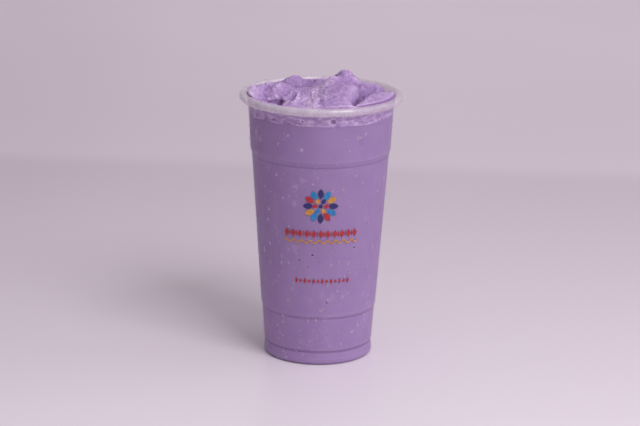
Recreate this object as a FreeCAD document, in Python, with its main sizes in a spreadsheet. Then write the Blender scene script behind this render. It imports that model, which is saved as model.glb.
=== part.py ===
"""Taro smoothie in its takeaway cup: a thin, clear cup with a rolled rim, the smoothie that fills it and
the icy slush heaped on top.

Frame: millimetres, +Z up, the origin on the table under the middle of the cup. The cup is a body of
revolution about Z. Its wall is one skin of even thickness, so every inner point is an outer point moved in
by the wall. The smoothie and the slush are cut from the same cavity, so they fit the wall at any size.
"""

import FreeCAD
import Part

import math
import os

import Sketcher

SHEET = "Sizes"

# alias: (value, what it is). Lengths are in millimetres.
SIZES = {
    "cup_height": (156.4, "table to the top of the rim"),
    "rim_radius": (47.5, "outside of the rolled rim"),
    "wall_thickness": (0.6, "skin of the cup, the same all over"),
    "curl_radius": (2.5, "outside of the curl that the rim is rolled into"),
    "curl_tuck": (22.0, "degrees that the curl goes on past its lowest point"),
    "rim_overhang": (5.1, "rim's outside to the wall just below it"),
    "rim_band": (9.0, "top of the rim to where the wall starts to flare"),
    "throat_drop": (2.2, "centre of the curl to the top of the flare"),
    "collar_height": (35.9, "top of the rim to the underside of the high step"),
    "collar_draft": (0.05, "radius that the collar gains for each unit of height"),
    "high_step_rise": (3.4, "height of the high step"),
    "high_step_depth": (0.95, "radius that the high step gains"),
    "low_step_height": (28.8, "table to the underside of the low step"),
    "low_step_rise": (1.9, "height of the low step"),
    "low_step_depth": (0.6, "radius that the low step gains"),
    "foot_radius": (32.2, "outside of the foot band and of the wall just above it"),
    "foot_height": (9.4, "table to the lower edge of the wall above the foot"),
    "foot_face": (3.6, "height of the foot's upright face"),
    "groove_drop": (1.5, "lower edge of the wall down to the bottom of the foot groove"),
    "groove_depth": (0.5, "how far the foot groove goes in"),
    "foot_round": (1.8, "rounding of the foot's outer corner"),
    "ring_width": (2.2, "width of the ring that the cup stands on"),
    "base_recess": (2.4, "how far the base is pushed up inside the foot ring"),
    "step_round": (1.6, "rounding of the step corners and of the neck"),
    "groove_round": (0.5, "rounding of the groove and of the foot ring's inner corners"),
    "fill_drop": (11.1, "top of the rim down to the line where the smoothie ends"),
    "slush_edge_drop": (2.0, "top of the rim down to the slush where it meets the wall"),
    "slush_dome": (1.2, "how far the slush swells up in the middle, without its lumps"),
}

# The lumps and hollows of the slush: (x, y, reach along, reach across, turn in degrees, height in mm).
# Places and reaches are shares of the mouth's radius, so that the heap stays in the mouth at any size.
# A positive height is a lump and a negative one is a hollow.
LUMPS = {
    "main_mound": (0.26, -0.28, 0.60, 0.29, 80, 7.8),
    "peak": (0.33, 0.08, 0.13, 0.12, 10, 5.4),
    "left_shoulder": (0.17, 0.04, 0.16, 0.15, 0, 1.8),
    "right_shoulder": (0.45, 0.12, 0.16, 0.12, -30, 2.2),
    "back_left_lump": (-0.39, 0.52, 0.15, 0.13, 15, 6.0),
    "back_ridge": (0.08, 0.64, 0.34, 0.16, -8, 2.0),
    "front_bank": (-0.24, -0.14, 0.40, 0.34, 10, 2.2),
    "left_lump": (-0.62, 0.05, 0.18, 0.20, 0, 5.0),
    "far_left_lump": (-0.86, -0.08, 0.10, 0.18, 5, 4.8),
    "right_ledge": (0.75, -0.37, 0.55, 0.13, 62, 3.6),
    "right_valley": (0.72, 0.18, 0.32, 0.19, 62, -7.8),
    "crevice": (0.53, -0.46, 0.34, 0.075, 74, -6.0),
    "left_hole": (-0.61, -0.47, 0.11, 0.085, -20, -7.0),
    "small_hole": (-0.40, -0.36, 0.055, 0.050, 0, -3.0),
}
LUMP_STEEPNESS = 1.7  # 1 gives a soft bell, and more gives a flatter top with steeper sides
HEAP_GRID = 61  # points along each side of the grid that the slush's surface goes through
HEAP_MARGIN = 1.08  # the grid's half side, in mouth radii, so that it covers the mouth


def build_sheet(doc):
    """Puts the driving dimensions in a spreadsheet, one row each: value with an alias, then what it is."""
    sheet = doc.addObject("Spreadsheet::Sheet", SHEET)
    for row, (alias, (value, meaning)) in enumerate(SIZES.items(), start=1):
        sheet.set(f"A{row}", str(value))
        sheet.setAlias(f"A{row}", alias)
        sheet.set(f"B{row}", meaning)
    doc.recompute()
    return sheet


def size(alias):
    """The expression that reads one dimension from the sheet."""
    assert alias in SIZES, alias
    return f"{SHEET}.{alias}"


# Expressions that more than one piece needs.
WALL = size("wall_thickness")
RIM = size("rim_radius")
TOP = size("cup_height")
FOOT = size("foot_radius")
CURL = size("curl_radius")
CURL_R = f"({RIM} - {CURL})"
CURL_Z = f"({TOP} - {CURL})"
MOUTH_R = f"({CURL_R} - {CURL})"
FLARE_Z = f"({CURL_Z} - {size('throat_drop')})"
NECK_R = f"({RIM} - {size('rim_overhang')})"
NECK_Z = f"({TOP} - {size('rim_band')})"
HIGH_STEP_Z = f"({TOP} - {size('collar_height')})"
COLLAR_Z = f"({HIGH_STEP_Z} + {size('high_step_rise')})"
COLLAR_R = f"({NECK_R} - {size('collar_draft')} * ({NECK_Z} - {COLLAR_Z}))"
WAIST_TOP_R = f"({COLLAR_R} - {size('high_step_depth')})"
LOW_STEP_Z = size("low_step_height")
WAIST_Z = f"({LOW_STEP_Z} + {size('low_step_rise')})"
FOOT_Z = size("foot_height")
# The two cones below the collar share one draft, which closes the wall between the foot and the high step.
CONES_GAIN = f"({WAIST_TOP_R} - {FOOT} - {size('low_step_depth')})"
DRAFT = f"({CONES_GAIN} / ({HIGH_STEP_Z} - {WAIST_Z} + {LOW_STEP_Z} - {FOOT_Z}))"
LOW_STEP_R = f"({FOOT} + {DRAFT} * ({LOW_STEP_Z} - {FOOT_Z}))"
WAIST_R = f"({LOW_STEP_R} + {size('low_step_depth')})"
RING_R = f"({FOOT} - {size('foot_round')} - {size('ring_width')})"
RECESS = size("base_recess")
FILL_Z = f"({TOP} - {size('fill_drop')})"
STEP_ROUND = size("step_round")
GROOVE_ROUND = size("groove_round")

# The wall from the foot's upright face to the curl, on its outer skin: (radius, height, rounding).
WALL_POINTS = [
    (FOOT, size("foot_face"), STEP_ROUND),
    (f"({FOOT} - {size('groove_depth')})", f"({FOOT_Z} - {size('groove_drop')})", GROOVE_ROUND),
    (FOOT, FOOT_Z, GROOVE_ROUND),
    (LOW_STEP_R, LOW_STEP_Z, STEP_ROUND),
    (WAIST_R, WAIST_Z, STEP_ROUND),
    (WAIST_TOP_R, HIGH_STEP_Z, STEP_ROUND),
    (COLLAR_R, COLLAR_Z, STEP_ROUND),
    (NECK_R, NECK_Z, STEP_ROUND),
    (f"({MOUTH_R} + {WALL})", FLARE_Z, STEP_ROUND),
    (f"({MOUTH_R} + {WALL})", CURL_Z, None),
]


def outer_skin():
    """The cup's outside, from the middle of its base to the curl."""
    base = [
        ("0", RECESS, None),
        (RING_R, RECESS, GROOVE_ROUND),
        (RING_R, "0", GROOVE_ROUND),
        (FOOT, "0", size("foot_round")),
    ]
    return base + WALL_POINTS


def inner_skin():
    """The cup's inside, from the middle of its base to the curl: the outside moved in by the wall."""
    base = [
        ("0", f"({RECESS} + {WALL})", None),
        (f"({RING_R} + {WALL})", f"({RECESS} + {WALL})", GROOVE_ROUND),
        (f"({RING_R} + {WALL})", WALL, GROOVE_ROUND),
        (f"({FOOT} - {WALL})", WALL, f"({size('foot_round')} - {WALL})"),
    ]
    return base + [(f"({r} - {WALL})", z, rounding) for r, z, rounding in WALL_POINTS]


def new_section(body, name):
    """An empty sketch on the body's own XZ plane: its X is the radius and its Y is the height."""
    sketch = body.newObject("Sketcher::SketchObject", name)
    plane = next(f for f in body.Origin.OriginFeatures if f.Role == "XZ_Plane")
    sketch.AttachmentSupport = (plane, [""])
    sketch.MapMode = "FlatFace"
    return sketch


def bind(sketch, constraint, expression):
    """Adds a dimension to a sketch and ties it to an expression."""
    index = sketch.addConstraint(constraint)
    sketch.setExpression(f"Constraints[{index}]", expression)


def draw_section(sketch, points, arcs=None):
    """Draws a closed section through (radius, height) expressions.

    Side i runs from point i to the next one. It is straight unless arcs has i: (centre radius, centre
    height, arc radius, whether the arc goes clockwise from its start).
    """
    arcs = arcs or {}
    places = [
        FreeCAD.Vector(sketch.evalExpression(r), sketch.evalExpression(z), 0) for r, z in points
    ]
    count = len(points)
    ends = []  # for each side: (geometry, its start vertex, its end vertex)
    for i, start in enumerate(places):
        stop = places[(i + 1) % count]
        if i not in arcs:
            ends.append((sketch.addGeometry(Part.LineSegment(start, stop)), 1, 2))
            continue
        centre_r, centre_z, radius, clockwise = arcs[i]
        centre = FreeCAD.Vector(
            sketch.evalExpression(centre_r), sketch.evalExpression(centre_z), 0
        )
        circle = Part.Circle(centre, FreeCAD.Vector(0, 0, 1), sketch.evalExpression(radius))
        angles = [math.atan2(p.y - centre.y, p.x - centre.x) for p in (start, stop)]
        first, last = reversed(angles) if clockwise else angles
        geometry = sketch.addGeometry(Part.ArcOfCircle(circle, first, last))
        ends.append((geometry, 2, 1) if clockwise else (geometry, 1, 2))
        bind(sketch, Sketcher.Constraint("Radius", geometry, sketch.evalExpression(radius)), radius)
    for i, (geometry, start_vertex, end_vertex) in enumerate(ends):
        following, following_start, _ = ends[(i + 1) % count]
        sketch.addConstraint(
            Sketcher.Constraint("Coincident", geometry, end_vertex, following, following_start)
        )
        (r, z), place = points[i], places[i]
        bind(sketch, Sketcher.Constraint("DistanceX", -1, 1, geometry, start_vertex, place.x), r)
        bind(sketch, Sketcher.Constraint("DistanceY", -1, 1, geometry, start_vertex, place.y), z)


def revolve(body, sketch):
    """Turns a section all the way round the body's upright axis."""
    turned = body.newObject("PartDesign::Revolution", f"{body.Name}_turned")
    turned.Profile = sketch
    turned.ReferenceAxis = (sketch, ["V_Axis"])
    turned.Angle = 360
    body.Document.recompute()
    return turned


def corner_edges(feature, corners):
    """Names of the feature's round edges that run through the given (radius, height) corners."""
    names = []
    for number, edge in enumerate(feature.Shape.Edges, start=1):
        if not isinstance(edge.Curve, Part.Circle):
            continue
        centre = edge.Curve.Center
        for radius, height in corners:
            if abs(edge.Curve.Radius - radius) < 1e-4 and abs(centre.z - height) < 1e-4:
                names.append(f"Edge{number}")
    return names


def round_corners(body, feature, points):
    """Rounds the revolved corners of the given (radius, height, rounding) points, a fillet per rounding."""
    for rounding in dict.fromkeys(p[2] for p in points if p[2]):
        corners = [
            (feature.evalExpression(r), feature.evalExpression(z))
            for r, z, own in points
            if own == rounding
        ]
        fillet = body.newObject("PartDesign::Fillet", f"{body.Name}_round")
        fillet.Base = (feature, corner_edges(feature, corners))
        fillet.setExpression("Radius", rounding)
        body.Document.recompute()
        feature = fillet
    return feature


def build_cup(doc):
    """The cup: outer skin up, round the curl and back, inner skin down, as one section."""
    body = doc.addObject("PartDesign::Body", "cup")
    sketch = new_section(body, "cup_section")
    tuck = f"(270 - {size('curl_tuck')})"
    tip = [
        (f"({CURL_R} + ({radius}) * cos({tuck}))", f"({CURL_Z} + ({radius}) * sin({tuck}))")
        for radius in (f"{CURL} - {WALL}", CURL)
    ]
    outer = [(r, z) for r, z, _ in outer_skin()]
    inner = [(r, z) for r, z, _ in reversed(inner_skin())]
    hollow_side = len(outer) - 1
    arcs = {
        hollow_side: (CURL_R, CURL_Z, f"({CURL} - {WALL})", True),
        hollow_side + 2: (CURL_R, CURL_Z, CURL, False),
    }
    draw_section(sketch, outer + tip + inner, arcs)
    turned = revolve(body, sketch)
    round_corners(body, turned, outer_skin() + inner_skin())
    return body


def build_cavity(doc):
    """The space inside the cup, with a straight shaft over the mouth that the heap is cut from."""
    body = doc.addObject("PartDesign::Body", "cavity")
    sketch = new_section(body, "cavity_section")
    skin = inner_skin()
    shaft_top = f"({TOP} + {RIM})"
    section = [(r, z) for r, z, _ in skin[:-1]] + [(MOUTH_R, shaft_top), ("0", shaft_top)]
    draw_section(sketch, section)
    turned = revolve(body, sketch)
    round_corners(body, turned, skin)
    return body


def build_smoothie(doc, cavity):
    """The smoothie fills the cavity up to the fill line. Also returns the space above that line."""
    level = doc.addObject("Part::Cylinder", "level")
    level.setExpression("Radius", RIM)
    level.setExpression("Height", FILL_Z)
    smoothie = doc.addObject("Part::Common", "smoothie")
    smoothie.Base, smoothie.Tool = cavity, level
    headroom = doc.addObject("Part::Cut", "headroom")
    headroom.Base, headroom.Tool = cavity, level
    doc.recompute()
    return smoothie, headroom


def lump_height(x, y, lump):
    """What one lump adds at a place given in mouth radii: a rounded hill on an ellipse."""
    centre_x, centre_y, along, across, turn, height = lump
    angle = math.radians(turn)
    dx, dy = x - centre_x, y - centre_y
    u = (dx * math.cos(angle) + dy * math.sin(angle)) / along
    v = (dy * math.cos(angle) - dx * math.sin(angle)) / across
    return height * math.exp(-((u * u + v * v) ** LUMP_STEEPNESS))


def slush_height(x, y, edge, dome):
    """Height of the slush's surface at a place given in mouth radii."""
    swell = dome * (1 - min(1.0, x * x + y * y))
    return edge + swell + sum(lump_height(x, y, lump) for lump in LUMPS.values())


def build_heap(doc):
    """A block under one smooth surface that runs through a grid of slush heights."""
    sheet = doc.getObject(SHEET)
    mouth = sheet.evalExpression(MOUTH_R)
    edge = sheet.cup_height - sheet.slush_edge_drop
    shares = [HEAP_MARGIN * (2 * i / (HEAP_GRID - 1) - 1) for i in range(HEAP_GRID)]
    grid = [
        [
            FreeCAD.Vector(mouth * x, mouth * y, slush_height(x, y, edge, sheet.slush_dome))
            for y in shares
        ]
        for x in shares
    ]
    surface = Part.BSplineSurface()
    surface.interpolate(grid)
    heap = doc.addObject("Part::Feature", "heap")
    heap.Shape = surface.toShape().extrude(FreeCAD.Vector(0, 0, -sheet.cup_height))
    return heap


def build_slush(doc, headroom):
    """The slush fills the headroom from the fill line up to the surface of the heap."""
    slush = doc.addObject("Part::Common", "slush_crown")
    slush.Base, slush.Tool = headroom, build_heap(doc)
    doc.recompute()
    return slush


def check(doc, pieces):
    """Stops if an object of the document failed, or if a piece isn't one valid solid."""
    failed = [o.Name for o in doc.Objects if {"Invalid", "Error"} & set(o.State)]
    assert not failed, f"failed objects: {failed}"
    for piece in pieces:
        shape = piece.Shape
        assert not shape.isNull() and shape.isValid(), piece.Label
        assert len(shape.Solids) == 1 and shape.Volume > 0, piece.Label


def main():
    doc = FreeCAD.newDocument("TaroSmoothie")
    build_sheet(doc)
    cup = build_cup(doc)
    smoothie, headroom = build_smoothie(doc, build_cavity(doc))
    slush = build_slush(doc, headroom)
    pieces = [cup, smoothie, slush]
    doc.recompute()
    check(doc, pieces)
    os.makedirs("parts", exist_ok=True)
    for piece in pieces:
        piece.Shape.exportStep(f"parts/{piece.Label}.step")
        box = piece.Shape.optimalBoundingBox(True, False)
        print(
            f"{piece.Label}: {piece.Shape.Volume / 1000:.1f} ml, z {box.ZMin:.2f} to {box.ZMax:.2f} mm, "
            f"radius {box.XMax:.2f} mm"
        )


main()
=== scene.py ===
"""Looks of the taro smoothie: the drink, the icy slush on top, the clear cup, its print and its condensation.

Lengths are in metres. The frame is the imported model's: +Z up, the origin on the table under the cup, and the
front towards -Y. An azimuth is in radians from the front, and grows towards +X.
"""

import math
import random

import bmesh
import bpy
from mathutils import Matrix, Vector, noise
from mathutils.bvhtree import BVHTree


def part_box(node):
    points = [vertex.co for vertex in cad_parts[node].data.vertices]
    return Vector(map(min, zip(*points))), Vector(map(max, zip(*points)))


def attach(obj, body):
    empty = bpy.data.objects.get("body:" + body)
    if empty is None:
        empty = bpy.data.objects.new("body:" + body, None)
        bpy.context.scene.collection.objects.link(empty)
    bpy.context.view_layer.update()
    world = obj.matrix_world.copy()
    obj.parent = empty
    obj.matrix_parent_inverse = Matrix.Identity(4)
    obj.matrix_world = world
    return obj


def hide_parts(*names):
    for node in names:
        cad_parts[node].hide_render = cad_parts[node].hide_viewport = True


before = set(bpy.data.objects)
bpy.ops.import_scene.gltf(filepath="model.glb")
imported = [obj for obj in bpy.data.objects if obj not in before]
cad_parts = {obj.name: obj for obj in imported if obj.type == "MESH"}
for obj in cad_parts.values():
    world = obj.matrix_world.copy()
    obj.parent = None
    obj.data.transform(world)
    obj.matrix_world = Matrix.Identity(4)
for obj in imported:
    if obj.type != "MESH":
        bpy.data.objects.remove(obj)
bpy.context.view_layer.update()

MM = 0.001
RIM_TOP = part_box("cup")[1].z
RIM_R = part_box("cup")[1].x
MOUTH_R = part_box("slush_crown")[1].x
FILL_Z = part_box("smoothie")[1].z
SMOOTHIE_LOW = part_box("smoothie")[0].z
CURL = (RIM_R - MOUTH_R) / 2  # radius of the rolled rim's own section
CURL_Z = RIM_TOP - CURL

REACH = 0.14 * MM  # how far the drink goes into the wall, so that no air shows between them
SLUSH_REACH = 0.24 * MM  # the same, for the slush
HAIR = 0.05 * MM  # a step in from a solid's top or bottom, where a level line still meets its side
OFF_SEAM = 0.013  # an azimuth that misses the edges of the CAD meshes, so that no line slips through one
SEGMENTS = 360  # points round the drink
SEED = 11


# ---------------------------------------------------------------- helpers


def smooth_step(low, high, value):
    """0 up to low, 1 from high, and an even turn between them."""
    t = min(1.0, max(0.0, (value - low) / (high - low)))
    return t * t * (3 - 2 * t)


def srgb(red, green, blue):
    """A colour as a screen shows it, from 0 to 255, as the linear colour that a shader takes."""
    channels = [c / 255 for c in (red, green, blue)]
    linear = [c / 12.92 if c <= 0.04045 else ((c + 0.055) / 1.055) ** 2.4 for c in channels]
    return (*linear, 1.0)


def skin_of(node):
    """A CAD node's surface, for finding where a straight line meets it."""
    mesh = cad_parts[node].data
    return BVHTree.FromPolygons([v.co for v in mesh.vertices], [p.vertices for p in mesh.polygons])


CUP_SKIN = skin_of("cup")
SMOOTHIE_SKIN = skin_of("smoothie")
SLUSH_SKIN = skin_of("slush_crown")


def outward(azimuth):
    """The level direction away from the axis."""
    return Vector((math.sin(azimuth), -math.cos(azimuth), 0))


def wall_axes(normal):
    """Two directions that lie in the wall: level, towards a greater azimuth, and up."""
    up = (Vector((0, 0, 1)) - normal * normal.z).normalized()
    return up.cross(normal), up


def wall_at(skin, azimuth, height):
    """Where a level line from outside towards the axis first meets a skin, and the skin's normal there."""
    away = outward(azimuth)
    start = away * (2 * RIM_R) + Vector((0, 0, height))
    hit, normal, _, _ = skin.ray_cast(start, -away)
    return hit, normal


def wall_radius(skin, height):
    """Radius of a body of revolution at a height."""
    return wall_at(skin, OFF_SEAM, height)[0].xy.length


def inner_radius(height):
    """Radius of the cup's inside, from whichever of the two fillings lies at that height."""
    if height > FILL_Z:
        return wall_radius(SLUSH_SKIN, max(height, FILL_Z + HAIR))
    return wall_radius(SMOOTHIE_SKIN, min(height, FILL_Z - HAIR))


def add_object(mesh, material):
    """An object of the scene that shows a mesh in one material."""
    mesh.materials.append(material)
    shown = bpy.data.objects.new(mesh.name, mesh)
    bpy.context.scene.collection.objects.link(shown)
    return shown


def add_mesh_piece(mesh, material, smooth):
    """A piece that rides on the cup, with its material and the record's slot."""
    mesh.polygons.foreach_set("use_smooth", [smooth] * len(mesh.polygons))
    piece = add_object(mesh, material)
    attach(piece, "root")
    return piece


def add_piece(name, vertices, faces, material):
    """A smooth piece, from its points and faces."""
    mesh = bpy.data.meshes.new(name)
    mesh.from_pydata([tuple(v) for v in vertices], [], faces)
    mesh.validate()
    return add_mesh_piece(mesh, material, True)


def add_values(piece, name, values):
    """One number for each vertex, which the material reads by name."""
    layer = piece.data.attributes.new(name, "FLOAT", "POINT")
    layer.data.foreach_set("value", values)


def join_rings(rings, downwards=False):
    """Faces between each two rings of a stack, listed upwards or downwards. A ring of one point is a tip."""
    faces = []
    for near, far in zip(rings, rings[1:]):
        count = max(len(near), len(far))
        for i in range(count):
            j = (i + 1) % count
            if len(near) == 1:
                faces.append((near[0], far[j], far[i]))
            elif len(far) == 1:
                faces.append((near[i], near[j], far[0]))
            else:
                faces.append((near[i], near[j], far[j], far[i]))
    if downwards:  # turned over, from the same first corner, so that a quad still splits from there
        faces = [(face[0], *face[:0:-1]) for face in faces]
    return faces


def turn_profile(profile):
    """Vertices and faces of a profile of (radius, height) turned about Z, from one pole to the other."""
    vertices, rings = [], []
    for radius, height in profile:
        count = SEGMENTS if radius else 1
        rings.append(list(range(len(vertices), len(vertices) + count)))
        for i in range(count):
            place = outward(2 * math.pi * i / count) * radius
            vertices.append((place.x, place.y, height))
    return vertices, join_rings(rings)


# ---------------------------------------------------------------- materials


class Nodes:
    """A material's node tree, with short calls for the nodes used here."""

    def __init__(self, name):
        self.material = bpy.data.materials.new(name)
        self.material.use_nodes = True
        self.tree = self.material.node_tree
        self.tree.nodes.clear()
        self.out = self.tree.nodes.new("ShaderNodeOutputMaterial")
        self.place = self.add("ShaderNodeTexCoord").outputs["Object"]

    def add(self, kind, **settings):
        node = self.tree.nodes.new(kind)
        for key, value in settings.items():
            setattr(node, key, value)
        return node

    def link(self, source, target):
        self.tree.links.new(source, target)

    def fill(self, node, values):
        """Sets a node's inputs, by name or number. A value that is another node's output is linked."""
        for key, value in values.items():
            if isinstance(value, bpy.types.NodeSocket):
                self.link(value, node.inputs[key])
            else:
                node.inputs[key].default_value = value
        return node

    def axis(self, letter):
        """One coordinate of the place, in the part's own frame."""
        parts = self.fill(self.add("ShaderNodeSeparateXYZ"), {0: self.place})
        return parts.outputs[letter]

    def principled(self, **values):
        named = {key.replace("_", " ").title().replace("Ior", "IOR"): v for key, v in values.items()}
        return self.fill(self.add("ShaderNodeBsdfPrincipled"), named)

    def noise(self, scale, detail=3.0, roughness=0.5, distortion=0.0):
        node = self.add("ShaderNodeTexNoise")
        sockets = {"Scale": scale, "Detail": detail, "Roughness": roughness, "Distortion": distortion}
        return self.fill(node, {"Vector": self.place, **sockets}).outputs["Fac"]

    def cells(self, scale, feature="F1"):
        node = self.add("ShaderNodeTexVoronoi", feature=feature)
        return self.fill(node, {"Vector": self.place, "Scale": scale}).outputs["Distance"]

    def value(self, name):
        """What add_values gave the piece under that name."""
        return self.add("ShaderNodeAttribute", attribute_name=name).outputs["Fac"]

    def ramp(self, factor, stops):
        """A colour for each value: stops are (value, colour)."""
        node = self.add("ShaderNodeValToRGB")
        elements = node.color_ramp.elements
        while len(elements) < len(stops):
            elements.new(0.5)
        for element, (position, colour) in zip(elements, stops):
            element.position = position
            element.color = colour
        self.link(factor, node.inputs["Fac"])
        return node.outputs["Color"]

    def spread(self, value, low, high, to_low=0.0, to_high=1.0):
        """Stretches a value's range from low..high to to_low..to_high, and holds it there."""
        node = self.add("ShaderNodeMapRange", interpolation_type="SMOOTHSTEP")
        sockets = {"Value": value, "From Min": low, "From Max": high, "To Min": to_low, "To Max": to_high}
        return self.fill(node, sockets).outputs["Result"]

    def maths(self, operation, first, second):
        node = self.add("ShaderNodeMath", operation=operation)
        return self.fill(node, {0: first, 1: second}).outputs[0]

    def mix(self, factor, first, second, blend="MIX"):
        """One colour over another. The Mix node's colours are its inputs 6 and 7, and its output 2."""
        node = self.add("ShaderNodeMix", data_type="RGBA", blend_type=blend)
        return self.fill(node, {"Factor": factor, 6: first, 7: second}).outputs[2]

    def layer(self, factor, under, over):
        """One shader over another."""
        node = self.add("ShaderNodeMixShader")
        return self.fill(node, {0: factor, 1: under.outputs[0], 2: over.outputs[0]})

    def glossy(self, colour, **values):
        sockets = {key.title(): value for key, value in values.items()}
        return self.fill(self.add("ShaderNodeBsdfGlossy"), {"Color": colour, **sockets})

    def transparent(self, colour):
        return self.fill(self.add("ShaderNodeBsdfTransparent"), {"Color": colour})

    def glancing(self, least, most, power):
        """A weight that grows towards the outline, as a reflection does, alike on both faces of a wall."""
        facing = self.fill(self.add("ShaderNodeLayerWeight"), {"Blend": 0.5}).outputs["Facing"]
        grown = self.maths("MULTIPLY", self.maths("POWER", facing, power), most - least)
        return self.maths("ADD", grown, least)

    def bump(self, height, distance, strength=1.0, normal=None):
        """Relief of a depth in metres, over another relief's normal if one is given."""
        sockets = {"Height": height, "Distance": distance, "Strength": strength}
        if normal:
            sockets["Normal"] = normal
        return self.fill(self.add("ShaderNodeBump"), sockets).outputs["Normal"]

    def show(self, shader):
        self.link(shader.outputs[0], self.out.inputs["Surface"])
        return self.material


WHITE = (1, 1, 1, 1)
TARO_GLOW = {"subsurface_radius": (0.9, 0.6, 1.0), "subsurface_scale": 2 * MM}


def smoothie_material():
    """Opaque blended taro: an even purple with soft clouds, fine air bubbles and a few darker flecks.

    The attribute "shade" darkens it above 0 and pales it below 0; it carries painted shade and painted
    highlights at the wall's steps and in the soft marks.
    """
    n = Nodes("taro_drink")
    clouds = n.noise(70, detail=5, roughness=0.6, distortion=0.5)
    low = n.ramp(clouds, [(0.30, srgb(144, 113, 166)), (0.70, srgb(151, 120, 172))])
    high = n.ramp(clouds, [(0.30, srgb(138, 107, 159)), (0.70, srgb(144, 114, 166))])
    # Painted shading: the drink is darker towards its top and paler at its foot, standing in for the light
    # that reaches the foot more.
    colour = n.mix(n.spread(n.axis("Z"), 20 * MM, 95 * MM), low, high)
    flecks = n.spread(n.cells(420), 0.10, 0.17, 1.0, 0.0)
    rare = n.spread(n.noise(160, detail=1), 0.66, 0.72)
    colour = n.mix(n.maths("MULTIPLY", flecks, n.maths("MULTIPLY", rare, 0.25)), colour, srgb(104, 74, 130))
    bubbles = n.spread(n.cells(900), 0.05, 0.22, 1.0, 0.0)
    colour = n.mix(n.maths("MULTIPLY", bubbles, 0.10), colour, srgb(205, 184, 218))
    shade = n.value("shade")
    # Above 0, "shade" is painted shade; below 0, painted highlights and the flecks' pale surrounds.
    colour = n.mix(n.spread(shade, 0.05, 0.9, 0.0, 0.55), colour, srgb(98, 70, 118))
    colour = n.mix(n.spread(shade, -0.02, -0.9, 0.0, 0.36), colour, srgb(200, 176, 214))
    relief = n.bump(n.noise(300), 0.08 * MM)
    shader = n.principled(
        base_color=colour, roughness=0.55, normal=relief, subsurface_weight=0.15, **TARO_GLOW
    )
    return n.show(shader)


def slush_material():
    """Granular blended ice, moist in places. The attribute "tone" goes from 0, a hollow, to 1, a crest:
    painted shade in the hollows and painted light on the crests.
    """
    n = Nodes("taro_slush")
    mottle = n.maths("MULTIPLY", n.maths("SUBTRACT", n.noise(240, 5, 0.6), 0.5), 0.20)
    stops = [
        (0.00, srgb(126, 92, 138)),
        (0.22, srgb(134, 100, 152)),
        (0.42, srgb(145, 112, 165)),
        (0.60, srgb(162, 130, 182)),
        (0.80, srgb(180, 150, 196)),
        (1.00, srgb(201, 176, 214)),
    ]
    # The ramp paints shade: dark purple in hollows, pale lavender on crests.
    colour = n.ramp(n.maths("ADD", n.value("tone"), mottle), stops)
    grains = n.cells(1100, feature="SMOOTH_F1")
    colour = n.mix(n.spread(grains, 0.0, 0.30, 0.20, 0.0), colour, srgb(214, 194, 226))
    wet = n.spread(n.noise(130), 0.45, 0.65, 0.62, 0.34)
    relief = n.bump(grains, 0.20 * MM, 0.7)
    relief = n.bump(n.noise(520, 6, 0.65), 0.26 * MM, 0.6, relief)
    shader = n.principled(
        base_color=colour, roughness=wet, normal=relief, subsurface_weight=0.25, **TARO_GLOW
    )
    return n.show(shader)


def cup_material():
    """Thin translucent polypropylene: mostly clear, with a faint film, and frosted at its rolled rim."""
    n = Nodes("clear_polypropylene")
    at_rim = n.spread(n.axis("Z"), CURL_Z - 1.5 * CURL, CURL_Z - 0.7 * CURL)
    streaks = n.spread(n.noise(160, 4), 0.35, 0.65, 0.22, 0.33)
    # Painted light: the rim's milky haze is heavier on the left, where the rim lies in shade, standing in for
    # the light that the plastic lets through.
    side = n.spread(n.axis("X"), -0.5 * RIM_R, RIM_R, 1.0, 0.55)
    film = n.spread(n.noise(120, 4), 0.3, 0.7, 0.015, 0.04)
    haze = n.maths("ADD", n.maths("MULTIPLY", n.maths("MULTIPLY", at_rim, streaks), side), film)
    haze = n.maths("ADD", haze, n.glancing(0.0, 0.04, 3.0))
    clear = n.transparent(n.mix(at_rim, (0.985, 0.98, 0.99, 1.0), (0.955, 0.94, 0.955, 1.0)))
    milky = n.principled(base_color=srgb(223, 212, 223), roughness=0.5, specular_ior_level=0.0)
    satin = n.glossy(srgb(250, 245, 250), roughness=0.75)
    body = n.layer(haze, clear, n.layer(0.65, milky, satin))
    dew = n.bump(n.noise(420, 4, 0.6), 0.03 * MM, 0.6)
    return n.show(n.layer(n.glancing(0.02, 0.14, 5.0), body, n.glossy(WHITE, roughness=0.24, normal=dew)))


def water_material():
    """Drops of condensation: nearly clear, a little milky in places, paler towards their edges as a painted
    highlight, and wet.
    """
    n = Nodes("condensation")
    clear = n.transparent((0.99, 0.985, 0.995, 1.0))
    pale = n.principled(base_color=srgb(226, 200, 234), roughness=0.4, specular_ior_level=0.0)
    # Painted highlight: the pale colour grows towards a drop's outline, where a real drop bends the light; a
    # little random haze is added.
    painted_glint_and_haze = n.maths("ADD", n.glancing(0.09, 0.32, 2.0), n.spread(n.noise(500, 2), 0.4, 0.6, 0.0, 0.06))
    body = n.layer(painted_glint_and_haze, clear, pale)
    ripple = n.bump(n.noise(900, 2), 0.01 * MM, 0.3)
    return n.show(n.layer(n.glancing(0.02, 0.26, 5.0), body, n.glossy(WHITE, roughness=0.30, normal=ripple)))


def ink_material(name, colour):
    """Printed ink: an even colour, a little worn, with the print's fine grain."""
    n = Nodes(name)
    dark = tuple(c * 0.72 for c in colour[:3]) + (1.0,)
    tint = n.mix(n.spread(n.noise(700, 4), 0.35, 0.70), dark, colour)
    grain = n.bump(n.noise(1500, 2), 0.01 * MM, 0.5)
    return n.show(n.principled(base_color=tint, roughness=0.42, normal=grain))


def fleck_material():
    """Bits of taro skin and deep air bubbles that lie against the wall."""
    n = Nodes("taro_flecks")
    colour = n.ramp(n.noise(1200), [(0.3, srgb(48, 34, 62)), (0.7, srgb(78, 56, 98))])
    return n.show(n.principled(base_color=colour, roughness=0.6))


# ---------------------------------------------------------------- drink

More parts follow.
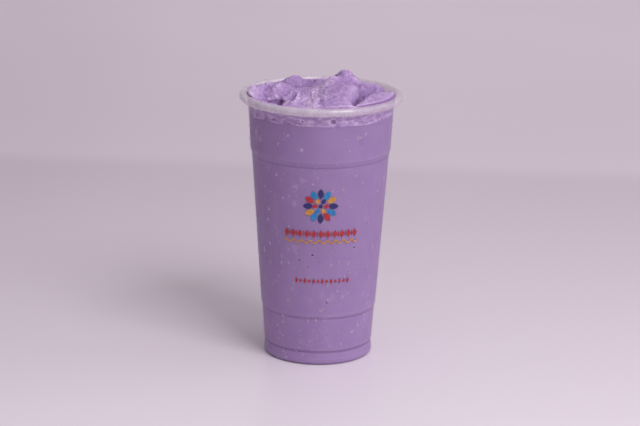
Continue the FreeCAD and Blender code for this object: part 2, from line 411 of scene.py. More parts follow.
CREASE_REACH = 0.9 * MM  # how far up and down the wall's turn is measured
SHARP_TURN = 0.22 * MM  # the turn of the wall, over that reach, that counts as a full crease
# The strongest painted highlight, on a step's outer corner.
PALEST_PAINTED_EDGE = -0.30  # the lowest shade on an outer corner


def painted_crease_shade(height):
    """1 in the inner corner under a step of the wall, below 0 on the outer one over it, else 0."""
    # Painted light at the wall's steps: painted shade in the inner corner under a step, and a painted
    # highlight on the outer corner over it.
    low, high = SMOOTHIE_LOW + 1.2 * CREASE_REACH, FILL_Z - 1.2 * CREASE_REACH
    middle = min(high, max(low, height))
    shifts = (-CREASE_REACH, 0, CREASE_REACH)
    below, own, above = (wall_radius(SMOOTHIE_SKIN, middle + shift) for shift in shifts)
    return max(PALEST_PAINTED_EDGE, min(1.0, (above - 2 * own + below) / SHARP_TURN))


# Flecks seen through the front: azimuth in degrees, height and half width in mm.
SEEN_FLECKS = [
    (-5.8, 68.4, 0.8), (14.3, 70.5, 0.4), (-18.2, 64.8, 0.65), (-9.8, 61.0, 0.5), (0.6, 64.0, 0.4),
    (33.8, 71.8, 0.75), (8.3, 39.0, 0.6), (-35.0, 74.0, 0.4), (5.5, 104.5, 0.3),
]

# Soft marks in the drink against the wall: azimuth in degrees, height, half width and half height in mm, and
# how dark each is, or how pale if below 0. The dark one is painted shade in a bubble, with a painted highlight
# beside it; the other pale ones are painted highlights where drops catch the light.
SEEN_MARKS = [
    (34.2, 135.0, 1.9, 2.9, 0.50), (30.6, 137.6, 0.9, 1.7, -0.5), (-62.0, 136.0, 1.2, 3.0, -0.9),
    (-57.0, 133.0, 0.9, 1.8, -0.7), (-16.2, 131.2, 2.6, 2.0, -0.35), (-20.2, 109.5, 2.4, 1.8, -0.4),
    (28.0, 97.0, 1.2, 1.4, -0.4), (-36.8, 65.5, 1.4, 1.8, -0.5), (-51.7, 59.8, 1.6, 2.0, -0.5),
    (-29.0, 70.1, 1.2, 1.4, -0.4), (-25.7, 46.5, 1.5, 1.6, -0.5), (-7.9, 40.9, 1.2, 1.4, -0.35),
    (24.1, 42.2, 1.0, 1.2, -0.45), (-43.5, 17.6, 1.8, 2.2, -0.5), (12.8, 12.2, 1.6, 1.4, -0.4),
    (33.9, 5.6, 1.4, 1.2, -0.4), (7.0, 28.5, 1.8, 1.8, -0.5), (-5.8, 21.6, 1.3, 1.2, -0.3),
]
# The stray marks are pale: painted highlights of drops, half of them only an outline.
STRAY_MARKS = 150  # more of them, scattered all round
MARK_REACH = 1.8  # how far a mark still shows, in its half widths


def all_marks():
    """Each mark's azimuth, height, half width, half height, darkness, and whether it is only an outline."""
    draw = random.Random(SEED + 3)
    marks = [(math.radians(a), z * MM, w * MM, h * MM, dark, False) for a, z, w, h, dark in SEEN_MARKS]
    for azimuth, height, half in SEEN_FLECKS:  # each fleck has a pale surround
        around = 2.2 * half * MM
        marks.append((math.radians(azimuth), height * MM, around, around, -0.35, False))
    for _ in range(STRAY_MARKS):
        size = draw.uniform(0.8, 2.2) * MM
        place = (draw.uniform(-math.pi, math.pi), (6 + 130 * draw.random() ** 1.3) * MM)
        tall = size * draw.uniform(0.9, 1.4)
        marks.append((*place, size, tall, draw.uniform(-0.5, -0.15), draw.random() < 0.5))
    return marks


def add_marks(painted_shade_and_marks, first, side):
    """Adds the soft marks to the shade of the drink's side, whose rings of vertices start at first."""
    per_radian = SEGMENTS / (2 * math.pi)
    for azimuth, height, across, tall, dark, hollow in all_marks():
        for row, (radius, z) in enumerate(side):
            if abs(z - height) > MARK_REACH * tall:
                continue
            span = math.ceil(MARK_REACH * across / radius * per_radian)
            middle = round(azimuth * per_radian)
            for column in range(middle - span, middle + span + 1):
                turn = column / per_radian - azimuth
                away = math.hypot(turn * radius / across, (z - height) / tall)
                form = math.exp(-(((away - 0.9) / 0.3) ** 2)) if hollow else math.exp(-(away**4))
                painted_shade_and_marks[first + row * SEGMENTS + column % SEGMENTS] += dark * form


DRINK_ROWS = 260  # rows of faces up the drink's side


def add_smoothie(material):
    """The drink, turned from the CAD solid's own outline and reaching a little into the wall.

    Its profile goes from the middle of its raised base, down into the foot ring and up the side to its top.
    """
    base_hit = SMOOTHIE_SKIN.ray_cast(Vector((0, 0, -RIM_R)), Vector((0, 0, 1)))[0]
    ring_height = SMOOTHIE_LOW + 0.4 * (base_hit.z - SMOOTHIE_LOW)
    ring_hit = SMOOTHIE_SKIN.ray_cast(Vector((0, 0, ring_height)), outward(OFF_SEAM))[0]
    ring_r = ring_hit.xy.length - REACH
    low, base = SMOOTHIE_LOW - REACH, base_hit.z - REACH
    first = SMOOTHIE_LOW + HAIR
    last = FILL_Z - 0.4 * HAIR
    heights = [first + (last - first) * i / DRINK_ROWS for i in range(DRINK_ROWS + 1)]
    side = [(wall_radius(SMOOTHIE_SKIN, z) + REACH, z) for z in heights]
    bottom = [(0, base), (ring_r * 0.5, base), (ring_r, base)]
    bottom += [(ring_r, low), (0.5 * (ring_r + side[0][0]), low), (side[0][0], low)]
    top = [(side[-1][0] * 0.5, last), (0, last)]
    profile = bottom + side + top
    vertices, faces = turn_profile(profile)
    piece = add_piece("smoothie_fill", vertices, faces, material)
    painted_creases = [0.0] * len(bottom) + [painted_crease_shade(z) for _, z in side] + [0.0] * len(top)
    counts = [1 if radius == 0 else SEGMENTS for radius, _ in profile]
    painted_shade_and_marks = [c for c, count in zip(painted_creases, counts) for _ in range(count)]
    add_marks(painted_shade_and_marks, sum(counts[: len(bottom)]), side)
    add_values(piece, "shade", painted_shade_and_marks)
    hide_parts("smoothie")


# ---------------------------------------------------------------- slush

GRID = 221  # points along each side of the slush's surface
SIDE_ROWS = 30  # rows of faces down its side
PROBE_LIMIT = 0.995  # share of the mouth's radius out to which a line from above still meets the slush
EDGE_START, EDGE_END = 0.86, 0.97  # shares of it between which the heap comes down to the wall
SLUSH_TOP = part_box("slush_crown")[1].z - HAIR  # the highest that it may reach

# The slush's own features, in millimetres seen from above: an area is its centre and its two reaches.
FACE_OF_MOUND = (11, -16, 12, 22)
GRAINY_BANK = (-10, -24, 9, 16)
CRAG = (13, 4, 8, 6)
CREST_AREA = (14, 4, 11, 9)
CREST = [  # the crag's skyline: x, and the height that the slush may reach there
    (2, 162.0), (5.9, 163.4), (8.5, 165.5), (11.3, 167.8), (14.0, 168.9),
    (16.8, 167.7), (18.7, 164.9), (21.4, 162.9), (24, 160),
]
# The last column is partly painted light: painted shade in the holes, the crevice and the hollows, and painted
# light on flanks that face away from the lamps.
RIDGES = [  # the line of each, its half width, how far it stands out, and how much paler or darker it is
    (((-1.2, -38), (-2.1, -27), (-2.3, -17), (0.4, -7), (4.5, -1)), 0.8, 0.25, 0.16),
    (((-4.5, -38), (-4.8, -27), (-4.6, -17), (-3.0, -6), (0.5, 4)), 3.6, 1.1, 0.30),
    (((1.5, -30), (0.8, -20), (2.0, -10), (6.0, -2)), 2.4, 0.4, 0.14),
    (((4, 2), (8, 2.5), (11, 3)), 2.2, 2.8, -0.04),
    (((7, 2), (12, 3), (16, 4), (20, 3.5)), 0.9, 0.8, -0.06),
    (((17, 4), (20, 5), (24, 7)), 2.4, 2.4, 0.04),
    (((4, -20), (10, -16), (17, -17)), 1.8, 0.4, 0.06),
    (((6, -9), (12, -12), (19, -10)), 1.4, 0.5, 0.08),
    (((20, -34), (27, -26), (33, -15)), 1.3, 0.5, 0.02),
    (((-41, -1), (-40.5, -8), (-38.5, -15)), 1.4, 0.5, 0.16),
    (((26, -36), (33, -25), (39, -13)), 1.0, 0.3, -0.05),
    (((20.4, -25), (21.8, -14.5), (24.2, -5), (25.5, 6)), 1.3, -1.4, -0.32),
    (((-26, -3), (-29, -9), (-26, -12)), 1.6, 0.7, 0.14),
    (((-36, -3), (-39, -9)), 1.4, 0.6, -0.08),
    (((-16, -6), (-13, -13), (-14, -22)), 0.9, 0.6, 0.10),
]
# The last column is partly painted light: painted shade in the holes, the crevice and the mound's shadow
# behind it, and painted light on flanks that face away from the lamps.
SPOTS = [  # the centre and reaches of each, how far it stands out, and how much paler or darker it is
    ((-28.4, -16.4), (4.2, 2.6), -2.4, -0.34),
    ((-24.6, -22.5), (2.2, 4.2), -2.2, -0.36),
    ((-24.0, -27.0), (2.0, 4.5), -2.4, -0.40),
    ((-24.2, -14.5), (1.5, 4.0), -1.6, -0.36),
    ((-22.5, -8.0), (3.0, 6.0), -0.4, 0.10),
    ((-17.6, -18.4), (1.7, 2.0), -2.2, -0.42),
    ((-31.0, 5.0), (4.0, 6.0), 0.7, 0.14),
    ((-20.5, 9.0), (4.0, 2.5), -1.0, -0.15),
    ((29.5, 12.0), (6.5, 15.0), -0.6, -0.24),
    ((-4.0, 20.0), (13.0, 9.0), 0.3, -0.14),
    ((26.0, 30.0), (12.0, 7.0), 0.4, 0.12),
    ((-31.0, 14.0), (7.0, 8.0), 0.2, 0.30),
    ((-30.0, 3.0), (3.0, 5.0), 0.5, 0.14),
    ((8.4, 1.5), (2.8, 2.2), -0.2, -0.26),
    ((9.8, -3.2), (4.5, 3.0), 1.5, 0.06),
    ((16.5, -1.0), (4.5, 5.5), 0.4, -0.14),
    ((12.6, 1.0), (2.6, 1.8), -0.5, -0.26),
    ((17.0, 1.5), (2.0, 1.6), 0.3, 0.14),
    ((37.5, 2.0), (6.0, 8.0), -2.6, -0.34),
    ((-16.5, 22.0), (7.0, 6.0), -1.2, -0.10),
    ((5.0, -8.0), (4.0, 8.0), 0.6, 0.14),
    ((14.6, -35.0), (4.0, 5.0), 0.3, 0.10),
    ((-11.5, -26.0), (6.5, 12.0), 0.3, 0.20),
    ((-41.0, -6.0), (3.0, 11.0), 0.8, 0.25),
    ((17.5, -38.5), (2.5, 3.0), 0.5, 0.28),
    ((12.0, -18.0), (8.5, 15.0), 0.0, -0.09),
]


def facet(place, size, shift):
    """Soft facets, as broken slush has: each cell leans its own way, and neighbours blend at their border."""
    spot = place / size + Vector((shift, shift * 1.7, shift * 0.6))
    distances, points = noise.voronoi(spot)
    leans = []
    for point in points[:2]:
        lean = noise.cell_vector(point * 7.31)  # three numbers from 0 to 1, each cell's own
        leans.append((lean - Vector((0.5, 0.5, 0.5))).dot(spot - point))
    near = 0.5 + 0.5 * smooth_step(0.0, 0.22, distances[1] - distances[0])
    return leans[0] * near + leans[1] * (1 - near)


def hill(x, y, centre_x, centre_y, reach_x, reach_y):
    """1 at the centre, falling to nothing past the reaches."""
    return math.exp(-(((x - centre_x) / reach_x) ** 2 + ((y - centre_y) / reach_y) ** 2) ** 1.5)


def distance_to(spot, start, end):
    """From a spot to the nearest point of a straight run."""
    run = end - start
    share = min(1, max(0, (spot - start).dot(run) / run.length_squared))
    return (spot - (start + run * share)).length


def along(x, y, line, width):
    """1 on a line of points, falling to nothing past its width."""
    spot = Vector((x, y))
    nearest = min(distance_to(spot, Vector(start), Vector(end)) for start, end in zip(line, line[1:]))
    return math.exp(-((nearest / width) ** 2))


def slush_detail(x, y, z):
    """How far the slush stands out from the CAD surface at a place in mm, and how much paler it is, partly as
    painted light.
    """
    place = Vector((x, y, z * 1.4))
    bend = Vector((noise.noise(place * 0.22), noise.noise(place * 0.22 + Vector((9, 4, 2))))) * 1.6
    x, y = x + bend.x, y + bend.y
    smooth = hill(x, y, *FACE_OF_MOUND)
    grainy = hill(x, y, *GRAINY_BANK)
    crag = hill(x, y, *CRAG)
    rough = 1 - 0.6 * smooth
    stand = facet(place, 8.5, 3.1) * (1.5 + 0.5 * smooth)
    stand += (facet(place, 4.0, 8.7) * 1.3 + facet(place, 2.0, 1.9) * 0.7) * rough
    swirl = Vector((x * 0.16, y * 0.10, z * 0.25))
    fold = 1 - min(1.0, 7 * abs(noise.noise(swirl) + 0.35 * noise.noise(swirl * 3.1)))
    stand += 0.35 * fold
    stand += (facet(place, 5.0, 5.3) * 3.0 + facet(place, 2.4, 6.6) * 1.5) * crag
    stand += noise.fractal(place * 0.95, 0.8, 2.1, 3) * (0.24 - 0.18 * smooth + 0.20 * grainy)
    paler = 0.09 * fold + 0.10 * noise.noise(Vector((x * 0.3, y * 0.3, 7)))
    paler += 0.22 * crag * noise.noise(place * 0.45)
    for line, width, height, shade in RIDGES:
        near = along(x, y, line, width)
        stand += near * height
        paler += near * shade
    for centre, reaches, height, shade in SPOTS:
        near = hill(x, y, *centre, *reaches)
        stand += near * height
        paler += near * shade
    return stand, paler


def crest_top(x, y):
    """The height that the crag's crest may reach at a place, in millimetres, with small chips out of it."""
    for (x0, z0), (x1, z1) in zip(CREST, CREST[1:]):
        if x0 <= x <= x1:
            chip = 0.9 * noise.noise(Vector((x * 0.5, y * 0.5, 4.0))) + 0.5 * noise.noise(Vector((x, y, 9.0)))
            return z0 + (z1 - z0) * (x - x0) / (x1 - x0) + chip
    return CREST[0][1]


def under(height, top, soft=0.7 * MM):
    """A height that is held below a top, more and more from a little way under it."""
    over = max(0.0, height - (top - soft))
    return height - over + soft * (1 - math.exp(-over / soft))


def curl_gap(height):
    """How much wider than the mouth's radius the curl's inside is at a height above its middle."""
    up = min(max(height - CURL_Z, 0), CURL)
    return CURL - math.sqrt(CURL * CURL - up * up)


def slush_base():
    """The CAD surface of the slush on a grid that is bent from a square to the mouth's circle."""
    places, shares = [], []
    for row in range(GRID):
        for column in range(GRID):
            a, b = 2 * column / (GRID - 1) - 1, 2 * row / (GRID - 1) - 1
            share = Vector((a * math.sqrt(1 - b * b / 2), b * math.sqrt(1 - a * a / 2)))
            place = share * MOUTH_R
            probe = share * min(1.0, PROBE_LIMIT / max(share.length, 1e-9)) * MOUTH_R
            hit = SLUSH_SKIN.ray_cast(Vector((probe.x, probe.y, 2 * RIM_TOP)), Vector((0, 0, -1)))[0]
            places.append(Vector((place.x, place.y, hit.z)))
            shares.append(share.length)
    return places, shares


def grid_faces():
    """The square faces between the grid's points."""
    starts = [row * GRID + column for row in range(GRID - 1) for column in range(GRID - 1)]
    return [(i, i + 1, i + 1 + GRID, i + GRID) for i in starts]


def grid_normals(places, faces):
    """The surface's direction at each grid point."""
    mesh = bpy.data.meshes.new("slush_normals")
    mesh.from_pydata([tuple(p) for p in places], [], faces)
    normals = [n.vector.copy() for n in mesh.vertex_normals]
    bpy.data.meshes.remove(mesh)
    return normals


def blurred(values, reach):
    """Each grid value averaged with its neighbours up to reach steps away, along rows and then columns."""
    for stride, line_stride in ((1, GRID), (GRID, 1)):
        result = [0.0] * len(values)
        for line in range(GRID):
            start = line * line_stride
            sums = [0.0]
            for i in range(GRID):
                sums.append(sums[-1] + values[start + i * stride])
            for i in range(GRID):
                low, high = max(0, i - reach), min(GRID, i + reach + 1)
                result[start + i * stride] = (sums[high] - sums[low]) / (high - low)
        values = result
    return values


def held(value):
    """A value kept from 0 to 1."""
    return min(1.0, max(0.0, value))


def painted_cavity_tone(places):
    """Painted shade and light from the shape: 0 in a hollow, a little over a half on open slush and 1 on a
    crest.
    """
    heights = [p.z / MM for p in places]
    near, far = blurred(heights, 4), blurred(heights, 16)
    return [held(0.56 + 0.16 * (own - a) + 0.07 * (own - b)) for own, a, b in zip(heights, near, far)]


def rim_walk():
    """The grid's border points in order, once round."""
    last = GRID - 1
    walk = list(range(last))
    walk += [last + GRID * i for i in range(last)]
    walk += [last * GRID + last - i for i in range(last)]
    walk += [GRID * (last - i) for i in range(last)]
    return walk


# Bubbles where the froth meets the wall: azimuth in degrees, height above the fill line and radius in mm.
SEEN_BUBBLES = [(9.5, 2.7, 1.35), (-39.9, 1.7, 0.8), (-14.5, 2.4, 0.75), (12.0, 4.4, 0.5), (-22.0, 3.6, 0.4)]
STRAY_BUBBLES = 46
FROTH_R = 42  # about the radius of the froth's side in mm, which turns an angle from a bubble into a distance


def froth_bubbles():
    """The bubbles seen from the front, and others round the rest of the cup, with azimuths in radians."""
    draw = random.Random(SEED)
    bubbles = list(SEEN_BUBBLES)
    for _ in range(STRAY_BUBBLES):
        azimuth = draw.uniform(55, 310)
        bubbles.append((azimuth, draw.uniform(0.8, 6.5), draw.choice((0.3, 0.4, 0.5, 0.8, 1.2))))
    return [(math.radians(a), h, r) for a, h, r in bubbles]


def slush_point(spot, share, normal):
    """Where a point of the CAD surface goes on the craggy one, and how much paler it is there, partly as
    painted light.

    share is how far out the point lies, from 0 in the middle to 1 at the wall.
    """
    inner = 1 - smooth_step(0.93, 1.0, share)
    at_edge = smooth_step(EDGE_START, EDGE_END, share)
    stand, paler = slush_detail(spot.x / MM, spot.y / MM, spot.z / MM)
    moved = spot + normal * (stand * MM * inner)
    moved.z += stand * MM * 0.35 * (1 - inner)
    bank = 1.1 * MM * (0.6 + 0.5 * noise.noise(Vector((spot.x, spot.y, 0)) * 90))
    moved.z += bank * smooth_step(EDGE_START, 0.98, share)
    moved.z = under(moved.z, SLUSH_TOP)
    x, y = moved.x / MM, moved.y / MM
    if hill(x, y, *CREST_AREA) > 0.3:
        moved.z = under(moved.z, crest_top(x, y) * MM)
    moved.z = under(moved.z, CURL_Z + (1.3 + 60 * (1 - at_edge)) * MM)
    spread = 1 + (curl_gap(moved.z) + SLUSH_REACH) / MOUTH_R * smooth_step(0.90, 1.0, share)
    # Paler towards the wall: frost there, and painted light over the shade where the slush meets the rim.
    return Vector((moved.x * spread, moved.y * spread, moved.z)), paler + 0.10 * at_edge


def fill_line(azimuth):
    """The wavy height where the froth ends and the smoothie starts."""
    x, y = math.sin(azimuth), math.cos(azimuth)
    wave = noise.noise(Vector((x, y, 0.3)) * 3.5) * 0.7 + noise.noise(Vector((x, y, 0.9)) * 14) * 0.35
    return FILL_Z + (wave - 0.25) * MM


def froth_point(azimuth, height, low, bubbles):
    """A point of the slush's frothy side, and its tone. A pale lip runs along the fill line, low."""
    lip = math.exp(-(((height - low) / (0.45 * MM)) ** 2))
    if height > CURL_Z:
        radius = MOUTH_R + curl_gap(height) + SLUSH_REACH
    else:
        radius = inner_radius(height) + SLUSH_REACH + 0.08 * MM * lip
    x, y, z = Vector((math.sin(azimuth) * 40, math.cos(azimuth) * 40, height / MM))
    foam = noise.fractal(Vector((x * 0.22, y * 0.22, z * 0.6)), 0.9, 2.0, 4)
    streak = noise.noise(Vector((x * 0.5, y * 0.5, z * 1.6)))
    tone = 0.66 + 0.40 * foam + 0.30 * streak + 0.24 * lip * (0.6 + 0.8 * foam)
    dent = 0.0
    for where, up, size in bubbles:
        turn = (azimuth - where + math.pi) % (2 * math.pi) - math.pi
        away = math.hypot(turn * FROTH_R, (height - FILL_Z) / MM - up) / size
        if away < 2.2:
            dent += 0.9 * size * math.exp(-((away * 1.2) ** 4))
            # Painted shade in each bubble's hollow, and a ring of painted highlight round it.
            tone -= 0.42 * math.exp(-((away * 1.15) ** 4))
            tone += 0.24 * math.exp(-(((away - 1.45) / 0.35) ** 2))
    return outward(azimuth) * (radius - min(dent, 1.2) * MM) + Vector((0, 0, height)), held(tone)


def add_slush(material):
    """The slush: its craggy top, and its frothy side down to the wavy line where the smoothie starts."""
    base, shares = slush_base()
    faces = grid_faces()
    points = [slush_point(*point) for point in zip(base, shares, grid_normals(base, faces))]
    places = [place for place, _ in points]
    tones_with_painted_shade = [held(tone + paler) for tone, (_, paler) in zip(painted_cavity_tone(places), points)]

    walk = rim_walk()
    bubbles = froth_bubbles()
    rings = [walk]
    for row in range(1, SIDE_ROWS + 1):
        rings.append(list(range(len(places), len(places) + len(walk))))
        for top in [places[i] for i in walk]:
            azimuth = math.atan2(top.x, -top.y)
            low = fill_line(azimuth)
            place, tone = froth_point(azimuth, top.z + (low - top.z) * row / SIDE_ROWS, low, bubbles)
            places.append(place)
            tones_with_painted_shade.append(tone)
    rings.append([len(places)])
    places.append(Vector((0, 0, FILL_Z - 0.3 * MM)))
    tones_with_painted_shade.append(0.5)
    faces += join_rings(rings, downwards=True)
    piece = add_piece("slush_heap", places, faces, material)
    add_values(piece, "tone", tones_with_painted_shade)
    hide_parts("slush_crown")


# ---------------------------------------------------------------- on the cup

# Drops that stand out from the rest: azimuth in degrees, height and half width in mm, and height over width.
SEEN_DROPS = [
    (-62, 136, 0.9, 2.5), (-57, 133, 0.6, 2.0), (31.6, 138.0, 0.8, 1.6), (3.5, 34.6, 1.5, 1.0),
    (-50.3, 71.6, 1.0, 1.1), (-28.6, 62.5, 0.9, 1.1), (-36.5, 61.8, 0.9, 1.0), (29.7, 56.4, 0.9, 1.0),
    (-23.9, 49.9, 1.0, 1.0), (18.2, 46.0, 1.0, 1.0), (24.6, 12.6, 1.1, 1.0), (8.1, 17.4, 1.0, 1.0),
    (-37.6, 24.9, 1.1, 1.1), (44.0, 22.7, 1.0, 1.0), (-15.0, 131.0, 1.2, 1.1),
]
STRAY_DROPS = 640
LARGEST_STRAY = 1.15  # half width in mm
THICKEST_DROP = 0.3 * MM
DROP_TURNS, DROP_STEPS = 14, 4  # points round a drop, and rings from its top to its edge
STRAY_FLECKS = 30
FLECK_TURNS = 12
# A fleck's outline: share of its half width, and height over the drink's CAD surface in mm.
FLECK_PROFILE = [(0.0, 0.26), (0.6, 0.24), (1.0, 0.16), (0.6, 0.02), (0.0, 0.0)]


def all_drops():
    """Each drop's azimuth, height, half width, and height over width. More lie towards the foot."""
    draw = random.Random(SEED + 1)
    low, high = 3.0 * MM, CURL_Z - 5.5 * MM
    drops = [(math.radians(a), z * MM, r * MM, tall) for a, z, r, tall in SEEN_DROPS]
    for _ in range(STRAY_DROPS):
        height = low + (high - low) * draw.random() ** 1.25
        size = min(LARGEST_STRAY, draw.lognormvariate(-0.95, 0.5)) * MM
        drops.append((draw.uniform(-math.pi, math.pi), height, size, draw.uniform(1.0, 1.4)))
    return drops


def add_drops(material):
    """Condensation: small flat domes of water on the cup, each closed by a flat back in its wall."""
    vertices, faces = [], []
    for azimuth, height, size, tall in all_drops():
        hit, normal = wall_at(CUP_SKIN, azimuth, height)
        side, up = wall_axes(normal)
        thick = min(size * 0.34, THICKEST_DROP)
        rings = [[len(vertices)]]
        vertices.append(hit + normal * thick)
        for step in range(1, DROP_STEPS + 1):
            lean = math.pi / 2 * step / DROP_STEPS
            rings.append(list(range(len(vertices), len(vertices) + DROP_TURNS)))
            for turn in range(DROP_TURNS):
                around = 2 * math.pi * turn / DROP_TURNS
                uneven = 1 + 0.16 * noise.noise(Vector((azimuth * 11, height * 700, math.cos(around))))
                flat = side * (math.cos(around) * size * uneven) + up * (math.sin(around) * size * tall)
                rise = math.cos(lean) * thick - 0.02 * MM
                vertices.append(hit + flat * math.sin(lean) + normal * rise)
        faces += join_rings(rings, downwards=True)
        faces.append(tuple(reversed(rings[-1])))
    add_piece("condensation", vertices, faces, material)


def add_flecks(material):
    """Flecks in the drink against the wall: flat lenses that stand a little out of the drink's skin."""
    draw = random.Random(SEED + 2)
    flecks = [(math.radians(a), h * MM, r * MM) for a, h, r in SEEN_FLECKS]
    for _ in range(STRAY_FLECKS):
        azimuth = draw.uniform(math.radians(55), math.radians(305))
        flecks.append((azimuth, draw.uniform(14, 140) * MM, draw.uniform(0.2, 0.65) * MM))
    vertices, faces = [], []
    for azimuth, height, size in flecks:
        hit, normal = wall_at(SMOOTHIE_SKIN, azimuth, height)
        side, up = wall_axes(normal)
        rings = []
        for share, rise in FLECK_PROFILE:
            count = FLECK_TURNS if share else 1
            rings.append(list(range(len(vertices), len(vertices) + count)))
            for turn in range(count):
                around = 2 * math.pi * turn / FLECK_TURNS
                rough = 1 + 0.25 * noise.noise(Vector((azimuth * 9, height * 900, turn * 0.8)))
                flat = side * math.cos(around) + up * (0.75 * math.sin(around))
                vertices.append(hit + flat * (size * share * rough) + normal * rise * MM)
        faces += join_rings(rings, downwards=True)
    add_piece("taro_flecks", vertices, faces, material)


# ---------------------------------------------------------------- print

# A printed shape is a list of (arc, height) points in mm. The arc runs along the wall from the front.
INK_DEPTH = 0.07 * MM  # its thickness, so that its back lies in the wall
INK_LIFT = 0.05 * MM  # its face over the wall
INK_STEP = 1.1  # the longest edge of a printed patch, in mm, so that it follows the cup


def disc(centre, radius, points=24):
    """A round spot."""
    turns = [2 * math.pi * i / points for i in range(points)]
    return [(centre[0] + radius * math.cos(turn), centre[1] + radius * math.sin(turn)) for turn in turns]


def petal(angle, start, end, width):
    """A pointed petal from the start radius to the end radius."""
    middle = start + 0.55 * (end - start)
    near, far = start + 0.25 * (end - start), start + 0.82 * (end - start)
    right = [(start, 0), (near, -0.72 * width), (middle, -width), (far, -0.62 * width), (end, 0)]
    left = [(far, 0.62 * width), (middle, width), (near, 0.72 * width)]
    cos, sin = math.cos(angle), math.sin(angle)
    return [(out * cos - side * sin, out * sin + side * cos) for out, side in right + left]


def diamond(s, t, half_width, half_height):
    return [(s + half_width, t), (s, t + half_height), (s - half_width, t), (s, t - half_height)]


def bar(s, t, half_width, half_height):
    low, high = t - half_height, t + half_height
    return [(s - half_width, low), (s + half_width, low), (s + half_width, high), (s - half_width, high)]


def blossom(centre_s, centre_t):
    """A plain flower in four inks: an outer and an inner ring of petals, and a round heart."""
    shapes = {"navy": [], "sky": [], "red": [], "gold": []}
    outer = ["navy", "sky", "red", "navy", "gold", "sky", "navy", "red", "sky", "navy", "gold", "sky"]
    for i, ink in enumerate(outer):
        angle = math.pi / 2 + 2 * math.pi * i / len(outer)
        shapes[ink].append(petal(angle, 4.2, 10.4, 1.75))
    inner = ["gold", "red", "sky", "gold", "red", "navy"]
    for i, ink in enumerate(inner):
        angle = math.pi / 2 + 2 * math.pi * (i + 0.5) / len(inner)
        shapes[ink].append(petal(angle, 1.5, 5.2, 1.25))
    shapes["navy"].append(disc((0, 0), 1.15))
    return {
        ink: [[(s + centre_s, t + centre_t) for s, t in polygon] for polygon in polygons]
        for ink, polygons in shapes.items()
    }


def lozenge_row(start, end, height, tall, count):
    """A row of diamonds with a bar between each two."""
    step = (end - start) / count
    row = []
    for i in range(count):
        s = start + (i + 0.5) * step
        row.append(diamond(s, height, 0.36 * step, tall / 2))
        if i:
            row.append(bar(s - step / 2, height, 0.28, 0.3 * tall))
    return row


def wave_line(start, end, height, swing, thick, waves):
    """A ribbon that waves along a level line, as a strip of short quads."""
    steps = waves * 10
    line = []
    for k in range(steps + 1):
        t = height + swing * math.sin(2 * math.pi * waves * k / steps)
        line.append((start + (end - start) * k / steps, t))
    half = thick / 2
    return [
        [(a, b - half), (c, d - half), (c, d + half), (a, b + half)]
        for (a, b), (c, d) in zip(line, line[1:])
    ]


def dash_row(start, end, height, tall, count):
    """A row of diamonds, tall and short by turns."""
    step = (end - start) / count
    row = []
    for i in range(count):
        s = start + (i + 0.5) * step
        row.append(diamond(s, height, 0.34 * step, (0.5 if i % 2 else 0.85) * tall / 2))
    return row


def add_print(name, polygons, material):
    """Ink on the cup: flat shapes in (arc, height) millimetres, laid on the wall as a thin closed skin."""
    work = bmesh.new()
    for polygon in polygons:
        work.faces.new([work.verts.new((s, t, 0)) for s, t in polygon])
    bmesh.ops.remove_doubles(work, verts=work.verts, dist=1e-4)
    bmesh.ops.triangulate(work, faces=work.faces)
    for _ in range(4):  # each round halves the edges that are still too long
        long_edges = [e for e in work.edges if e.calc_length() > INK_STEP]
        if not long_edges:
            break
        bmesh.ops.subdivide_edges(work, edges=long_edges, cuts=1)
        bmesh.ops.triangulate(work, faces=work.faces)
    for vertex in work.verts:
        s, t, _ = vertex.co
        radius = wall_radius(CUP_SKIN, t * MM)
        hit, normal = wall_at(CUP_SKIN, s * MM / radius, t * MM)
        vertex.co = hit + normal * INK_LIFT
    bmesh.ops.recalc_face_normals(work, faces=work.faces)
    for face in work.faces:
        if face.normal.xy.dot(face.calc_center_median().xy) < 0:
            face.normal_flip()
    bmesh.ops.solidify(work, geom=list(work.faces), thickness=INK_DEPTH)
    mesh = bpy.data.meshes.new(name)
    work.to_mesh(mesh)
    work.free()
    add_mesh_piece(mesh, material, False)


def add_prints():
    """The print on the front: a flower, two rows and a wave, with a piece for each ink."""
    inks = {
        "navy": ink_material("ink_navy", srgb(38, 32, 104)),
        "sky": ink_material("ink_sky", srgb(20, 124, 186)),
        "red": ink_material("ink_red", srgb(176, 38, 48)),
        "gold": ink_material("ink_gold", srgb(204, 142, 60)),
    }
    shapes = blossom(centre_s=0.6, centre_t=98.0)
    shapes["red"] += lozenge_row(start=-21.5, end=23.5, height=81.2, tall=5.0, count=11)
    shapes["gold"] += wave_line(start=-21.0, end=23.0, height=76.4, swing=0.9, thick=1.0, waves=9)
    shapes["red"] += dash_row(start=-14.3, end=18.7, height=52.4, tall=4.3, count=13)
    for ink, polygons in shapes.items():
        add_print("print_" + ink, polygons, inks[ink])


# ---------------------------------------------------------------- stage

FLOOR_SIZE = 6.0
BACK_LINE = 0.437  # how far behind the cup the table's tone changes
BACK_LINE_LEAN = 0.066
SIDE_REACH = 0.35  # how far to each side the floor's tone changes
# How bright the floor is from its left to its right: painted shading, darker towards both sides and most on
# the left.
PAINTED_SIDE_SHADE = [(0.0, 0.90), (0.2, 0.965), (0.5, 0.992), (0.7, 1.0), (1.0, 0.96)]


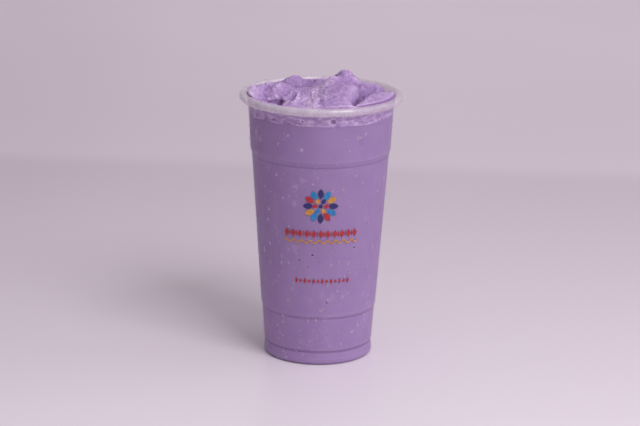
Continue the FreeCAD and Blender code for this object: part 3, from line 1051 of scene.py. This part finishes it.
def floor_material():
    """A pale, faintly glossy table; beyond a soft line its tone is that of the backdrop. Its darkening towards
    the sides and towards the back line is painted shading.
    """
    n = Nodes("pale_floor")
    x = n.axis("X")
    past = n.maths("ADD", n.axis("Y"), n.maths("MULTIPLY", x, BACK_LINE_LEAN))
    # Painted shading: the table darkens from the front towards the back line.
    near_tones = [(0.0, srgb(236, 227, 236)), (1.0, srgb(212, 197, 210))]
    far_tones = [(0.0, srgb(224, 208, 223)), (1.0, srgb(250, 232, 248))]
    near = n.ramp(n.spread(past, -0.5, BACK_LINE), near_tones)
    far = n.ramp(n.spread(past, BACK_LINE, 1.25), far_tones)
    colour = n.mix(n.spread(past, BACK_LINE - 0.022, BACK_LINE + 0.030), near, far)
    painted_side_ramp = [(share, (tone, tone, tone, 1)) for share, tone in PAINTED_SIDE_SHADE]
    side = n.ramp(n.spread(x, -SIDE_REACH, SIDE_REACH), painted_side_ramp)
    colour = n.mix(1.0, colour, side, "MULTIPLY")
    colour = n.mix(n.spread(n.noise(3.0, 2), 0.3, 0.7, 0.0, 0.05), colour, srgb(190, 176, 190))
    return n.show(n.principled(base_color=colour, roughness=0.34, specular_ior_level=0.35))


def add_floor():
    """The table, and the backdrop as its far part."""
    mesh = bpy.data.meshes.new("floor")
    half = FLOOR_SIZE / 2
    corners = [(-half, -half, 0), (half, -half, 0), (half, half, 0), (-half, half, 0)]
    mesh.from_pydata(corners, [], [(0, 1, 2, 3)])
    floor = add_object(mesh, floor_material())


def add_softbox(name, azimuth, elevation, distance, size, power):
    """A square lamp that faces the cup, placed by its direction from the cup in degrees."""
    target = Vector((0, 0, RIM_TOP / 2))
    turn, lift = math.radians(azimuth), math.radians(elevation)
    away = outward(turn) * math.cos(lift) + Vector((0, 0, math.sin(lift)))
    lamp = bpy.data.lights.new(name, "AREA")
    lamp.shape = "SQUARE"
    lamp.size = size
    lamp.energy = power
    holder = bpy.data.objects.new(name, lamp)
    holder.location = target + away * distance
    holder.rotation_euler = away.to_track_quat("Z", "Y").to_euler()
    bpy.context.scene.collection.objects.link(holder)


ROOM_COLOUR = (0.995, 0.945, 0.99, 1.0)
ROOM_LIGHT = 0.46


def add_lights():
    """A window's light from the right, a broad one beside it, and the room's even light."""
    add_softbox("key", azimuth=35, elevation=45, distance=1.7, size=0.8, power=19)
    add_softbox("side", azimuth=84, elevation=30, distance=2.3, size=2.4, power=13)
    world = bpy.data.worlds.new("room")
    world.use_nodes = True
    background = world.node_tree.nodes["Background"]
    background.inputs["Color"].default_value = ROOM_COLOUR
    background.inputs["Strength"].default_value = ROOM_LIGHT
    bpy.context.scene.world = world


CAMERA_PLACE = (0.00025, -1.2882, 0.4385)
CAMERA_DOWN = 15.407  # degrees below level
CAMERA_ROLL = 0.851  # degrees
CAMERA_LENS = 128.06  # millimetres
CAMERA_SENSOR = 36.0  # millimetres across


def add_camera():
    """The camera that every picture at rest is taken with."""
    data = bpy.data.cameras.new("camera")
    data.sensor_width = CAMERA_SENSOR
    data.lens = CAMERA_LENS
    camera = bpy.data.objects.new("camera", data)
    tilt = Matrix.Rotation(math.radians(90 - CAMERA_DOWN), 4, "X")
    roll = Matrix.Rotation(math.radians(CAMERA_ROLL), 4, "Z")
    camera.matrix_world = Matrix.Translation(CAMERA_PLACE) @ tilt @ roll
    bpy.context.scene.collection.objects.link(camera)
    bpy.context.scene.camera = camera


def main():
    bpy.context.scene.view_settings.view_transform = "Standard"
    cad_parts["cup"].data.materials[0] = cup_material()
    add_smoothie(smoothie_material())
    add_slush(slush_material())
    add_drops(water_material())
    add_flecks(fleck_material())
    add_prints()
    add_floor()
    add_lights()
    add_camera()


main()
